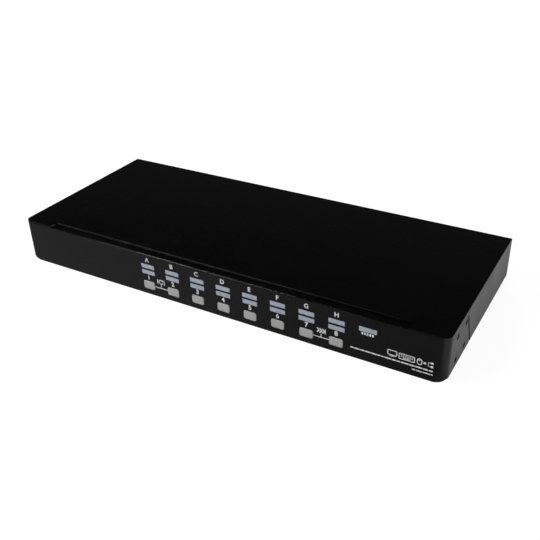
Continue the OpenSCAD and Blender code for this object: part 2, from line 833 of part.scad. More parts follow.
module heat_sink() color([0.5, 0.5, 0.52]) {
    width = 24;
    height = 20;
    fins = 7;
    fin_t = 1.5;
    fin_pitch = (width - fin_t) / (fins - 1);
    // in front of the regulator, fins pointing forwards
    on_board(regulator_xy - [width / 2, 0.05]) {
        translate([0, -2.5, 0]) cube([width, 2.5, height]);
        for (i = [0 : fins - 1])
            translate([i * fin_pitch, -10, 0]) cube([fin_t, 8, height]);
    }
}

module buzzer() color(plastic_black) on_board([60, 14]) difference() {
    cylinder(r = 6, h = 7);
    translate([0, 0, 5]) cylinder(r = 1.2, h = 4);
}

base_tray();
front_panel();
rear_panel();
top_cover();
ear_nuts();
cover_screws();
rear_panel_screws();
front_panel_screws();
ground_screw();
insulating_sheet();
main_board();
board_standoffs();
board_screws();
front_board();
front_board_standoffs();
front_board_screws();
ribbon_cable();
board_headers();
button(1);  // button_1
button(2);  // button_2
button(3);  // button_3
button(4);  // button_4
button(5);  // button_5
button(6);  // button_6
button(7);  // button_7
button(8);  // button_8
plunger(1);  // plunger_1
plunger(2);  // plunger_2
plunger(3);  // plunger_3
plunger(4);  // plunger_4
plunger(5);  // plunger_5
plunger(6);  // plunger_6
plunger(7);  // plunger_7
plunger(8);  // plunger_8
switch_bodies();
bank_light_windows();
port_light_windows();
power_light_window();
indicator_leds();
port_shells();
port_insulators();
port_housings();
jackscrews();
console_port_shell();
console_port_insulator();
chain_port_shell();
chain_port_insulator();
usb_shell();
usb_tongues();
dc_jack();
dc_jack_pin();
controller_chip();
switching_chips();
capacitors();
inductors();
crystal();
regulator();
heat_sink();
buzzer();
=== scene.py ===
"""A 16-port keyboard, screen and mouse switch in a flat black sheet-steel case.

Units are metres. The case is wide along X and Z is up. The front panel, with its eight
buttons and their light windows, faces -Y; the rear panel, with its sockets, faces +Y.
"""
import json
import math
import random

import bmesh
import bpy
from mathutils import Matrix, Vector

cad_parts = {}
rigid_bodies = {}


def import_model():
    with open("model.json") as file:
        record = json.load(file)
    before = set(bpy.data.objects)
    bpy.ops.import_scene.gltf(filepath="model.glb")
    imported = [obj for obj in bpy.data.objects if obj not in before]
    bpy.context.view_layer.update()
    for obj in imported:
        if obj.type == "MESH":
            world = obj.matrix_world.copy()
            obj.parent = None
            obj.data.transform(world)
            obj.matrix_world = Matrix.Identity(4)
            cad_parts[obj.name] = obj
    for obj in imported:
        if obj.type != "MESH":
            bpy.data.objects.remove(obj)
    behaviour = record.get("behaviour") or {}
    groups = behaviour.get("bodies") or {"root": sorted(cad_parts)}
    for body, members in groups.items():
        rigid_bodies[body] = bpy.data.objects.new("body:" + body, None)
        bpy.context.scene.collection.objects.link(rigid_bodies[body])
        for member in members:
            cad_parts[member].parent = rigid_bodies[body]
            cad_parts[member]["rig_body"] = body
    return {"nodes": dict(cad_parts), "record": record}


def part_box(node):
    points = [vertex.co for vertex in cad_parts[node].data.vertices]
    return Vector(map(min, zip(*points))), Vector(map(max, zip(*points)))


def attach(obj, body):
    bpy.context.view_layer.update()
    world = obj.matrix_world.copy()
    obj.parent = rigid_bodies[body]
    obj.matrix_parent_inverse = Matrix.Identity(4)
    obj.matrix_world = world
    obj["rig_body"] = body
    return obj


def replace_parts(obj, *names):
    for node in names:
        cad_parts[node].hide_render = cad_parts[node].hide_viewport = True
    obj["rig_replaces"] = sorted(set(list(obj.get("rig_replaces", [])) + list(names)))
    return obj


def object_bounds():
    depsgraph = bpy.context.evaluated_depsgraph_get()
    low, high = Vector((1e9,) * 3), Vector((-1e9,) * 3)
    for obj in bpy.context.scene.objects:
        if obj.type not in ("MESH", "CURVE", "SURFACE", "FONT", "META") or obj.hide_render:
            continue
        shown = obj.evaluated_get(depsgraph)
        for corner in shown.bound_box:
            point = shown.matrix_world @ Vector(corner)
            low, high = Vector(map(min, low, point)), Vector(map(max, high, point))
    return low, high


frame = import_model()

MM = 0.001
cad_lo, cad_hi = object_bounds()
cad_nodes = frame["nodes"]
SLOT = {part["node"]: part["material_slot"] for part in frame["record"]["subparts"]}
BODY = {name: node["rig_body"] for name, node in cad_nodes.items()}


def box_and_centre(node):
    lo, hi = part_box(node)
    return lo, hi, (lo + hi) / 2


# ------------------------------------------------------------------ driving places

FRONT_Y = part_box("front_panel")[0].y
REAR_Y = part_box("rear_panel")[1].y
PANEL_BACK_Y = FRONT_Y + 1.05 * MM     # collars and window ears sit against this plane
cover_lo, cover_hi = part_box("top_cover")
BUTTON_COLLAR = 1 * MM                 # how far the collar stands out round a cap
WINDOW_EAR = 1.6 * MM                  # how far the ear stands out at each side of a window
buttons = [box_and_centre(f"button_{i}")[2] for i in range(1, 9)]

# The paint's drawn lines are placed from this plane.
PAINT_FRONT_Y = cad_lo.y + 0.0007
HIGHLIGHT_LINE_Y = PAINT_FRONT_Y + 0.0089      # painted highlight line along the cover's front edge
# Dark slanting joint on both sides of the case, widened by painted shade, as (y, z) of its two
# ends.
SEAM_TOP = (PAINT_FRONT_Y + 0.0459, cad_lo.z + 0.0378)
SEAM_FOOT = (PAINT_FRONT_Y + 0.0596, cad_lo.z + 0.005)
SEAM_HALF_WIDTH = 0.0016

# ------------------------------------------------------------------ shader nodes

NOISE_SPAN = (0.3, 0.7)                # the values a noise texture mostly fills
WHITE = (1, 1, 1)


def grey(value):
    return (value, value, value)


def scaled(colour, factor):
    return tuple(channel * factor for channel in colour)


class Shader:
    """Empties a node tree and adds nodes to it."""

    def __init__(self, tree):
        tree.nodes.clear()
        self.tree = tree

    def feed(self, node, inputs):
        """Gives each input a number, a vector, an RGB colour or a link from another socket."""
        for key, value in inputs.items():
            socket = node.inputs[key]
            if isinstance(value, bpy.types.NodeSocket):
                self.tree.links.new(value, socket)
            elif socket.type == "RGBA":
                socket.default_value = (*value, 1)
            else:
                socket.default_value = value

    def add(self, kind, inputs=None, **settings):
        node = self.tree.nodes.new(kind)
        for name, value in settings.items():
            setattr(node, name, value)
        self.feed(node, inputs or {})
        return node

    def stretched(self, scale):
        mapping = self.add("ShaderNodeMapping", {"Scale": scale, "Vector": self.coords})
        return mapping.outputs["Vector"]

    def noise(self, scale, detail=3.0, rough=0.55, stretch=None):
        vector = self.stretched(stretch) if stretch else self.coords
        return self.add("ShaderNodeTexNoise", {"Scale": scale, "Detail": detail,
                                               "Roughness": rough,
                                               "Vector": vector}).outputs["Fac"]

    def remap(self, source, span=NOISE_SPAN, to=(0, 1)):
        return self.add("ShaderNodeMapRange", {
            "From Min": span[0], "From Max": span[1],
            "To Min": to[0], "To Max": to[1], "Value": source}).outputs["Result"]

    def math(self, operation, first, second=None):
        inputs = {0: first} if second is None else {0: first, 1: second}
        return self.add("ShaderNodeMath", inputs, operation=operation).outputs[0]

    def mix(self, factor, first, second):
        return self.add("ShaderNodeMix", {0: factor, 6: first, 7: second},
                        data_type="RGBA").outputs[2]

    def bump(self, height, distance):
        return self.add("ShaderNodeBump",
                        {"Distance": distance, "Height": height}).outputs["Normal"]

    def split(self, vector):
        return self.add("ShaderNodeSeparateXYZ", {0: vector}).outputs

    def away_from(self, value, level):
        """Distance of a coordinate from a level."""
        return self.math("ABSOLUTE", self.math("SUBTRACT", value, level))

    def times_remap(self, factor, source, span, to):
        return self.math("MULTIPLY", factor, self.remap(source, span, to))

    def edge_mask(self, radius):
        """About 1 on sharp outer edges, 0 on flats."""
        bevel = self.add("ShaderNodeBevel", {"Radius": radius}, samples=4)
        geometry = self.add("ShaderNodeNewGeometry")
        facing = self.add("ShaderNodeVectorMath",
                          {0: bevel.outputs["Normal"], 1: geometry.outputs["True Normal"]},
                          operation="DOT_PRODUCT")
        turned = self.math("SUBTRACT", 1.0, facing.outputs["Value"])
        return self.remap(turned, span=(0.02, 0.2))


def new_material(name):
    """A material with a principled shader, textured in object coordinates."""
    material = bpy.data.materials.new(name)
    material.use_nodes = True
    shader = Shader(material.node_tree)
    output = shader.add("ShaderNodeOutputMaterial")
    surface = shader.add("ShaderNodeBsdfPrincipled")
    shader.feed(output, {"Surface": surface.outputs["BSDF"]})
    shader.coords = shader.add("ShaderNodeTexCoord").outputs["Object"]
    return material, shader, surface


# ------------------------------------------------------------------ materials

def painted_highlight_line(shader):
    """Mask of a painted highlight line along the cover's front edge, fading towards +X as a
    reflected light does.
    """
    place = shader.split(shader.coords)
    line = shader.remap(shader.away_from(place["Y"], HIGHLIGHT_LINE_Y),
                        span=(0.00045, 0.0006), to=(1, 0))
    line = shader.times_remap(line, place["Z"],
                              span=(cad_hi.z - 0.0009, cad_hi.z - 0.0007), to=(0, 1))
    line = shader.times_remap(line, place["X"], span=(0.06, 0.18), to=(1, 0.12))
    across = shader.math("ABSOLUTE", place["X"])
    line = shader.times_remap(line, across, span=(0.1825, 0.184), to=(1, 0))
    return shader.times_remap(line, shader.noise(scale=60), span=NOISE_SPAN, to=(0.75, 1.0))


def seam_and_shade_mask(shader):
    """Mask of the slanting joint and the painted shade that widens it, on the two side faces
    only.
    """
    place = shader.split(shader.coords)
    run, drop = SEAM_FOOT[0] - SEAM_TOP[0], SEAM_FOOT[1] - SEAM_TOP[1]
    length = math.hypot(run, drop)
    normal_y, normal_z = drop / length, -run / length
    distance = shader.math("ADD", shader.math("MULTIPLY", place["Y"], normal_y),
                           shader.math("MULTIPLY", place["Z"], normal_z))
    distance = shader.away_from(distance, SEAM_TOP[0] * normal_y + SEAM_TOP[1] * normal_z)
    line = shader.remap(distance, span=(SEAM_HALF_WIDTH, SEAM_HALF_WIDTH + 0.0003), to=(1, 0))
    line = shader.times_remap(line, place["Z"],
                              span=(SEAM_TOP[1], SEAM_TOP[1] + 0.0004), to=(1, 0))
    side = shader.math("ABSOLUTE", place["X"])
    return shader.times_remap(line, side,
                              span=(cad_hi.x - 0.0016, cad_hi.x - 0.0013), to=(0, 1))


def paint(name, colour, rough, grain_scale, grain, peel, wear, wear_colour,
          up_face_shade_colour=None, highlight_line_colour=None):
    """Painted or powder-coated steel: grain, mottling, smudges, rubbed edges, a dark joint
    widened by painted shade.

    up_face_shade_colour paints shade on the faces that look up; highlight_line_colour draws a
    painted highlight line along the cover's front edge.
    """
    material, shader, surface = new_material(name)
    mottle = shader.noise(scale=22, detail=4, rough=0.6)
    fine = shader.noise(scale=grain_scale, rough=0.6)
    mixed = shader.mix(shader.remap(mottle), scaled(colour, 0.82), scaled(colour, 1.22))
    edges = shader.times_remap(shader.edge_mask(radius=0.0005), shader.noise(scale=180),
                               span=(0.45, 0.7), to=(0.0, wear))
    mixed = shader.mix(edges, mixed, wear_colour)
    # Painted shade: faces that look up take a darker colour.
    if up_face_shade_colour:
        geometry = shader.add("ShaderNodeNewGeometry")
        normal = shader.split(geometry.outputs["True Normal"])
        mixed = shader.mix(shader.remap(normal["Z"], span=(0.75, 0.97)), mixed, up_face_shade_colour)
    # Painted highlight: a lighter line along the cover's front edge, fading towards +X like a
    # light's reflection.
    if highlight_line_colour:
        mixed = shader.mix(painted_highlight_line(shader), mixed, highlight_line_colour)
    # Painted shade: the joint's dark line is widened by a near-black band, as shade inside the
    # gap.
    seam_and_shade = seam_and_shade_mask(shader)
    mixed = shader.mix(seam_and_shade, mixed, grey(0.0005))
    # Less shine inside the joint and its painted shade.
    shader.feed(surface, {"Specular IOR Level":
                          shader.remap(seam_and_shade, span=(0, 1), to=(0.5, 0.5 * 0.12))})
    smudge = shader.noise(scale=9, detail=5, rough=0.65, stretch=(1, 1.6, 1))
    roughness = shader.math("ADD", shader.remap(smudge, to=(rough - 0.06, rough + 0.06)),
                            shader.remap(fine, to=(-0.03, 0.03)))
    coarse = shader.noise(scale=grain_scale * 0.35, detail=2, rough=0.5)
    height = shader.math("ADD", fine, shader.math("MULTIPLY", coarse, peel))
    shader.feed(surface, {"Base Color": mixed, "Roughness": roughness,
                          "Normal": shader.bump(height, distance=grain)})
    return material


def plastic(name, colour, rough, grain_scale=1800, grain=0.00002, var=0.08, scatter=0,
            wear=0, wear_colour=None):
    material, shader, surface = new_material(name)
    mottle = shader.noise(scale=60, detail=4, rough=0.6)
    fine = shader.noise(scale=grain_scale, detail=2, rough=0.5)
    mixed = shader.mix(shader.remap(mottle), scaled(colour, 1 - var), scaled(colour, 1 + var))
    if wear:
        edges = shader.math("MULTIPLY", shader.edge_mask(radius=0.0004), wear)
        mixed = shader.mix(edges, mixed, wear_colour)
    shader.feed(surface, {"Base Color": mixed,
                          "Roughness": shader.remap(fine, to=(rough - 0.05, rough + 0.05)),
                          "Normal": shader.bump(fine, distance=grain)})
    if scatter:
        shader.feed(surface, {"Subsurface Weight": scatter, "Subsurface Scale": 0.0012,
                              "Subsurface Radius": (1, 1, 1)})
    return material


def metal(name, colour, rough, tarnish, brush=(1, 1, 1)):
    """Bare metal; brush stretches its fine grain along the axes with small numbers."""
    material, shader, surface = new_material(name)
    mottle = shader.noise(scale=140, detail=4, rough=0.6)
    grain = shader.noise(scale=900, rough=0.6, stretch=brush)
    tarnished = shader.remap(mottle, span=(0.35, 0.75), to=(0, tarnish * 2))
    shader.feed(surface, {
        "Base Color": shader.mix(tarnished, colour, scaled(colour, 0.6)),
        "Metallic": 1.0,
        "Roughness": shader.remap(grain, to=(rough - 0.1, rough + 0.1)),
        "Normal": shader.bump(grain, distance=0.000012)})
    return material


def frosted_window():
    """Milky pale blue-grey plastic with a tiny moulded grain."""
    material, shader, surface = new_material("window_frosted")
    cloud = shader.noise(scale=260, rough=0.6)
    fine = shader.noise(scale=2200, detail=2, rough=0.5)
    shader.feed(surface, {
        "Base Color": shader.mix(shader.remap(cloud), (0.37, 0.42, 0.50), (0.44, 0.49, 0.57)),
        "Roughness": shader.remap(fine, to=(0.26, 0.38)),
        "Normal": shader.bump(fine, distance=0.000012),
        "Subsurface Weight": 0.35,
        "Subsurface Scale": 0.0015,
        "Subsurface Radius": (0.9, 1.0, 1.2),
        "Coat Weight": 0.25,
        "Coat Roughness": 0.15})
    return material


def circuit_board():
    """Green solder mask with lighter tracks showing through and a faint weave."""
    material, shader, surface = new_material("board_solder_mask")
    mapping = shader.add("ShaderNodeMapping", {"Vector": shader.coords})
    tracks = shader.add("ShaderNodeTexBrick", {
        "Scale": 180, "Mortar Size": 0.06,
        "Color1": (0.006, 0.06, 0.026), "Color2": (0.007, 0.07, 0.03),
        "Mortar": (0.02, 0.16, 0.07), "Vector": mapping.outputs["Vector"]})
    weave = shader.noise(scale=800, detail=2)
    shader.feed(surface, {
        "Base Color": shader.mix(shader.remap(weave, to=(0.0, 0.35)),
                                 tracks.outputs["Color"], (0.004, 0.045, 0.02)),
        "Roughness": shader.remap(weave, to=(0.25, 0.4)),
        "Normal": shader.bump(tracks.outputs["Fac"], distance=0.00002)})
    return material


# Keyed by material slot; "gold" and "ink" are for added details that have no slot.
MATERIALS = {
    # The cover's lighter line along its front edge is a painted highlight.
    "cover_black": paint("cover_black_paint", grey(0.0010), rough=0.27, grain_scale=1500,
                         grain=0.000012, peel=1.2, wear=0.15, wear_colour=grey(0.004),
                         highlight_line_colour=(0.024, 0.024, 0.025)),
    # Its darker colour on the faces that look up is painted shade.
    "front_black": paint("front_black_paint", (0.0034, 0.0034, 0.0037), rough=0.26,
                         grain_scale=1900, grain=0.00001, peel=0.8, wear=0.15,
                         wear_colour=grey(0.008), up_face_shade_colour=grey(0.0006)),
    "black_steel": paint("black_powder_coat", grey(0.006), rough=0.42, grain_scale=1500,
                         grain=0.00002, peel=1.2, wear=0.35, wear_colour=grey(0.09)),
    "black_screw": metal("black_oxide_screw", (0.05, 0.05, 0.052), rough=0.4, tarnish=0.3),
    "zinc_steel": metal("bright_zinc", (0.62, 0.62, 0.6), rough=0.3, tarnish=0.25),
    "nickel_shell": metal("satin_nickel", (0.62, 0.61, 0.58), rough=0.28, tarnish=0.2,
                          brush=(1, 1, 6)),
    "brass": metal("brass_turned", (0.72, 0.5, 0.22), rough=0.3, tarnish=0.3),
    "gold": metal("gold_contact", (0.85, 0.62, 0.25), rough=0.22, tarnish=0.1),
    "button_grey": plastic("button_grey_plastic", (0.43, 0.43, 0.42), rough=0.46,
                           grain_scale=1700, grain=0.000025, var=0.04, scatter=0.15,
                           wear=0.25, wear_colour=(0.5, 0.5, 0.49)),
    "black_plastic": plastic("black_plastic", (0.014, 0.014, 0.015), rough=0.42, var=0.12),
    "blue_plastic": plastic("blue_plastic", (0.02, 0.07, 0.33), rough=0.4),
    "white_plastic": plastic("white_plastic", (0.72, 0.72, 0.68), rough=0.4, scatter=0.2),
    "ink": plastic("white_ink", grey(0.78), rough=0.55, grain_scale=2600, grain=0.000006,
                   var=0.07),
    "chip_black": plastic("chip_epoxy", (0.018, 0.018, 0.02), rough=0.55,
                          grain_scale=2400, grain=0.000015),
    "ribbon_grey": plastic("ribbon_vinyl", grey(0.36), rough=0.5),
    "clear_sheet": plastic("polyester_film", (0.42, 0.42, 0.38), rough=0.25),
    "ferrite": plastic("ferrite", (0.04, 0.04, 0.042), rough=0.65, grain_scale=1200,
                       grain=0.00003),
    "heat_sink_aluminium": metal("extruded_aluminium", (0.5, 0.5, 0.51), rough=0.38,
                                 tarnish=0.1, brush=(1, 1, 0.05)),
    "led_body": plastic("led_resin", (0.75, 0.72, 0.5), rough=0.25, scatter=0.3),
    "window_blue_grey": frosted_window(),
    "board_green": circuit_board(),
}
MATERIALS["nickel_pin"] = MATERIALS["crystal_can"] = MATERIALS["nickel_shell"]
MATERIALS["capacitor_sleeve"] = MATERIALS["black_plastic"]


# ------------------------------------------------------------------ mesh helpers

def shade(mesh, sharp_angle):
    """Smooth shading that breaks above sharp_angle degrees; 0 shades flat."""
    if sharp_angle:
        mesh.shade_smooth()
        mesh.set_sharp_from_angle(angle=math.radians(sharp_angle))
    else:
        mesh.shade_flat()


def add_part(name, bm, material, body="chassis", sharp_angle=0):
    mesh = bpy.data.meshes.new(name)
    bmesh.ops.recalc_face_normals(bm, faces=bm.faces)
    bm.to_mesh(mesh)
    bm.free()
    part = bpy.data.objects.new(name, mesh)
    bpy.context.scene.collection.objects.link(part)
    mesh.materials.append(MATERIALS[material])
    shade(mesh, sharp_angle)
    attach(part, body)
    return part


def evaluated_copy(part):
    """A new mesh of the object with its modifiers applied."""
    bpy.context.view_layer.update()
    graph = bpy.context.evaluated_depsgraph_get()
    return bpy.data.meshes.new_from_object(part.evaluated_get(graph))


def keep_flats_true(part):
    """Wide flat faces keep their own direction; only the rounded edges are blended."""
    weighted = part.modifiers.new("flats", "WEIGHTED_NORMAL")
    weighted.mode = "FACE_AREA"
    weighted.weight = 80
    weighted.keep_sharp = True
    mesh = evaluated_copy(part)
    old = part.data
    part.modifiers.clear()
    part.data = mesh
    bpy.data.meshes.remove(old)


def merge_flats(bm, weld, angle):
    """Welds close points and dissolves edges flatter than angle degrees."""
    bmesh.ops.remove_doubles(bm, verts=bm.verts, dist=weld)
    bmesh.ops.dissolve_limit(bm, angle_limit=math.radians(angle),
                             use_dissolve_boundaries=False, verts=bm.verts, edges=bm.edges)


def folded(mesh):
    """Counts triangles facing away from their own polygon: edges rounded too far."""
    bm = bmesh.new()
    bm.from_mesh(mesh)
    bm.normal_update()
    count = 0
    for loops in bm.calc_loop_triangles():
        first, second, third = [loop.vert.co for loop in loops]
        normal = (second - first).cross(third - first)
        if normal.length > 1e-12 and normal.normalized().dot(loops[0].face.normal) < 0.5:
            count += 1
    bm.free()
    return count


ROUNDED_ANGLE = math.radians(32)       # edges sharper than this are rounded
# Share of the wanted width, and whether overlaps are clamped, in the order tried.
BEVEL_TRIES = ((1, False), (0.7, False), (0.45, False), (0.45, True), (0.25, False))


def refine(node, width, segments, edge_share=None):
    """The CAD node's own shape with its edges rounded by width millimetres.

    edge_share(edge) gives a share of the width per edge. The first width that leaves no
    folds is taken, or else the one with the fewest.
    """
    bm = bmesh.new()
    bm.from_mesh(cad_nodes[node].data)
    merge_flats(bm, weld=2e-6, angle=0.6)
    if edge_share:
        layer = bm.edges.layers.float.new("bevel_weight_edge")
        for edge in bm.edges:
            if len(edge.link_faces) == 2 and edge.calc_face_angle(0) > ROUNDED_ANGLE:
                edge[layer] = edge_share(edge)
    base = bpy.data.meshes.new(node + "_fine")
    bm.to_mesh(base)
    bm.free()
    part = bpy.data.objects.new(node + "_fine", base)
    bpy.context.scene.collection.objects.link(part)

    best, fewest = None, math.inf
    for share, clamp in BEVEL_TRIES:
        part.modifiers.clear()
        bevel = part.modifiers.new("edge", "BEVEL")
        bevel.width = width * share * MM
        bevel.segments = segments
        bevel.limit_method = "WEIGHT" if edge_share else "ANGLE"
        bevel.angle_limit = ROUNDED_ANGLE
        bevel.use_clamp_overlap = clamp
        bevel.miter_outer = "MITER_SHARP"
        loser = evaluated_copy(part)
        folds = folded(loser)
        if folds < fewest:
            best, loser = loser, best
            fewest = folds
        if loser:
            bpy.data.meshes.remove(loser)
        if not folds:
            break
    part.modifiers.clear()
    part.data = best
    bpy.data.meshes.remove(base)

    part.data.materials.clear()
    part.data.materials.append(MATERIALS[SLOT[node]])
    shade(part.data, 35)
    keep_flats_true(part)
    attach(part, BODY[node])
    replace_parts(part, node)


def add_box(bm, lo, hi):
    """Adds a closed box between two corners."""
    centre = (Vector(lo) + Vector(hi)) / 2
    size = Vector(hi) - Vector(lo)
    for vert in bmesh.ops.create_cube(bm, size=1)["verts"]:
        vert.co = vert.co * size + centre if False else Vector(
            (vert.co.x * size.x, vert.co.y * size.y, vert.co.z * size.z)) + centre


def loft(bm, rings, looped=False):
    """Joins rings of equal counts, with capped ends or with the last joined to the first."""
    loops = [[bm.verts.new(point) for point in ring] for ring in rings]
    count = len(loops[0])
    following = loops[1:] + loops[:1] if looped else loops[1:]
    for near, far in zip(loops, following):
        for i in range(count):
            j = (i + 1) % count
            bm.faces.new((near[i], near[j], far[j], far[i]))
    if not looped:
        bm.faces.new(loops[0][::-1])
        bm.faces.new(loops[-1])


def arc(radius, steps, start, end):
    """steps + 1 points from start to end, in degrees."""
    angles = [math.radians(start + (end - start) * i / steps) for i in range(steps + 1)]
    return [(radius * math.cos(angle), radius * math.sin(angle)) for angle in angles]


def circle(radius, steps):
    return arc(radius, steps, 0, 360)[:-1]


def rounded_rect(width, height, radius, steps=6):
    """Points of a rounded rectangle, anticlockwise, about the origin."""
    right, top = width / 2 - radius, height / 2 - radius
    corners = ((right, top, 0), (-right, top, 90), (-right, -top, 180), (right, -top, 270))
    return [(x + dx, z + dz) for x, z, start in corners
            for dx, dz in arc(radius, steps, start, start + 90)]


def rect(x, y, width, height):
    left, right = x - width / 2, x + width / 2
    low, high = y - height / 2, y + height / 2
    return [(left, low), (right, low), (right, high), (left, high)]


def ring_at(x, y, z, outline, scale=1):
    """An outline stood up facing Y, about (x, z) at depth y."""
    return [Vector((x + dx * scale, y, z + dz * scale)) for dx, dz in outline]


# ------------------------------------------------------------------ printed marks

INK_TOP, INK_BOTTOM = 0.04, -0.02      # millimetres out from the panel's face
# Rotation that stands X/Y artwork up on the panel, and the y of its face.
FRONT = (Matrix(((1, 0, 0), (0, 0, -1), (0, 1, 0))), FRONT_Y)
REAR = (Matrix(((-1, 0, 0), (0, 0, 1), (0, 1, 0))), REAR_Y)


class Artwork:
    """Printed marks on one panel, drawn in millimetres about a movable origin."""

    def __init__(self, panel):
        self.rotation, self.y = panel
        self.bm = bmesh.new()

    def move_to(self, x, z):
        self.matrix = (Matrix.Translation(Vector((x, self.y, z))) @ self.rotation.to_4x4()
                       @ Matrix.Scale(MM, 4))

    def level(self, points, height):
        return [self.bm.verts.new(self.matrix @ Vector((point[0], point[1], height)))
                for point in points]

    def text(self, letters, height, swell):
        """Centred text of a given height; swell fattens its strokes."""
        curve = bpy.data.curves.new("text", "FONT")
        curve.body = letters
        curve.align_x = "CENTER"
        curve.offset = swell
        curve.extrude = 0.05
        curve.resolution_u = 4
        holder = bpy.data.objects.new("text", curve)
        bpy.context.scene.collection.objects.link(holder)
        mesh = evaluated_copy(holder)
        bpy.data.objects.remove(holder)
        low = min(vert.co.y for vert in mesh.vertices)
        high = max(vert.co.y for vert in mesh.vertices)
        scale = height / (high - low)
        middle = (high + low) / 2
        for vert in mesh.vertices:
            x, y, z = vert.co
            vert.co = self.matrix @ Vector((x * scale, (y - middle) * scale,
                                            INK_TOP if z > 0 else INK_BOTTOM))
        merged = bmesh.new()
        merged.from_mesh(mesh)
        merge_flats(merged, weld=1e-6, angle=1)
        merged.to_mesh(mesh)
        merged.free()
        self.bm.from_mesh(mesh)
        bpy.data.meshes.remove(mesh)

    def line(self, points, width, closed=False):
        """A line with mitred corners."""
        points = [Vector(point) for point in points]
        count = len(points)
        left, right = [], []
        for i, point in enumerate(points):
            if closed or i > 0:
                before = point - points[i - 1]
            else:
                before = points[1] - point
            after = points[(i + 1) % count] - point if closed or i < count - 1 else before
            before, after = before.normalized(), after.normalized()
            normal = Vector((-before.y, before.x))
            mitre = (normal + Vector((-after.y, after.x))).normalized()
            reach = mitre * (width / 2 / mitre.dot(normal))
            left.append(point + reach)
            right.append(point - reach)
        left_top, right_top = self.level(left, INK_TOP), self.level(right, INK_TOP)
        left_low, right_low = self.level(left, INK_BOTTOM), self.level(right, INK_BOTTOM)
        face = self.bm.faces.new
        for i in range(count if closed else count - 1):
            j = (i + 1) % count
            face((left_top[i], left_top[j], right_top[j], right_top[i]))
            face((left_low[i], right_low[i], right_low[j], left_low[j]))
            face((left_top[i], left_low[i], left_low[j], left_top[j]))
            face((right_top[i], right_top[j], right_low[j], right_low[i]))
        if not closed:
            face((left_top[0], right_top[0], right_low[0], left_low[0]))
            face((left_top[-1], left_low[-1], right_low[-1], right_top[-1]))

    def frame(self, width, height, radius, steps, line):
        self.line(rounded_rect(width, height, radius, steps), line, closed=True)

    def fill(self, points):
        top = self.level(points, INK_TOP)
        low = self.level(points, INK_BOTTOM)
        self.bm.faces.new(top)
        self.bm.faces.new(low[::-1])
        for i in range(len(points)):
            j = (i + 1) % len(points)
            self.bm.faces.new((top[i], low[i], low[j], top[j]))

    def bar(self, x, y, width, height):
        self.fill(rect(x, y, width, height))

    def key_rows(self, rows, columns, pitch, width, height):
        for y in rows:
            for k in range(columns):
                self.bar((k - (columns - 1) / 2) * pitch, y, width, height)

    def finish(self, name):
        add_part(name, self.bm, "ink")


# ------------------------------------------------------------------ enclosure

def cover_share(edge):
    """Wide bends round the top face, the widest at its corners near the front."""
    first, second = edge.verts[0].co, edge.verts[1].co
    near, far = sorted((first.y, second.y))
    if min(first.z, second.z) > cover_hi.z - 1e-5:
        if far - near < 1e-6 and near > cover_lo.y + 5 * MM and far < cover_lo.y + 15 * MM:
            return 1.0
        return 0.75
    return 0.22


refine("top_cover", 0.8, 4, cover_share)
for node, width in (("front_panel", 0.14), ("rear_panel", 0.12), ("base_tray", 0.15),
                    ("ear_nuts", 0.15), ("cover_screws", 0.1), ("front_panel_screws", 0.1),
                    ("rear_panel_screws", 0.1), ("ground_screw", 0.15)):
    refine(node, width, 2)


# ------------------------------------------------------------------ buttons

def add_button(number):
    """A crowned cap with a rolled edge, its collar behind the panel, and a round stem."""
    node = f"button_{number}"
    lo, hi, centre = box_and_centre(node)
    cap_width = (hi.x - lo.x) - 2 * BUTTON_COLLAR
    cap_height = (hi.z - lo.z) - 2 * BUTTON_COLLAR
    corner = 1.8 * MM
    roll = 0.45 * MM

    def ring(y, grow, scale=1):
        outline = rounded_rect(cap_width + grow, cap_height + grow, corner)
        return ring_at(centre.x, y, centre.z, outline, scale)

    rings = []
    for k in range(6):
        out = k / 5
        rings.append(ring(lo.y + 0.00006 + 0.00012 * out * out, -0.3 * MM, 0.12 + 0.76 * out))
    for k in range(1, 7):
        angle = math.radians(90 * k / 6)
        inset = roll * (1 - math.sin(angle))
        outline = rounded_rect(cap_width - 2 * inset, cap_height - 2 * inset, corner - inset)
        rings.append(ring_at(centre.x, lo.y + 0.00018 + roll * (1 - math.cos(angle)) * 0.9,
                             centre.z, outline))
    # Collar: depth behind the panel and growth over the cap, in millimetres.
    for depth, grow in ((0, 0), (0, 1.8), (0.1, 2), (1.3, 2)):
        rings.append(ring(PANEL_BACK_Y + depth * MM, grow * MM))
    bm = bmesh.new()
    loft(bm, rings)

    stem = 1.6 * MM
    loft(bm, [ring_at(centre.x, y, centre.z, circle(radius, 28)) for radius, y in (
        (stem + 0.4 * MM, PANEL_BACK_Y + 1.25 * MM),
        (stem, PANEL_BACK_Y + 1.7 * MM),
        (stem, hi.y - 0.15 * MM),
        (stem - 0.15 * MM, hi.y))])
    cap = add_part(node + "_cap", bm, "button_grey", f"key_{number}", 40)
    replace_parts(cap, node)


for number in range(1, 9):
    add_button(number)
    refine(f"plunger_{number}", 0.2, 2)


# ------------------------------------------------------------------ windows

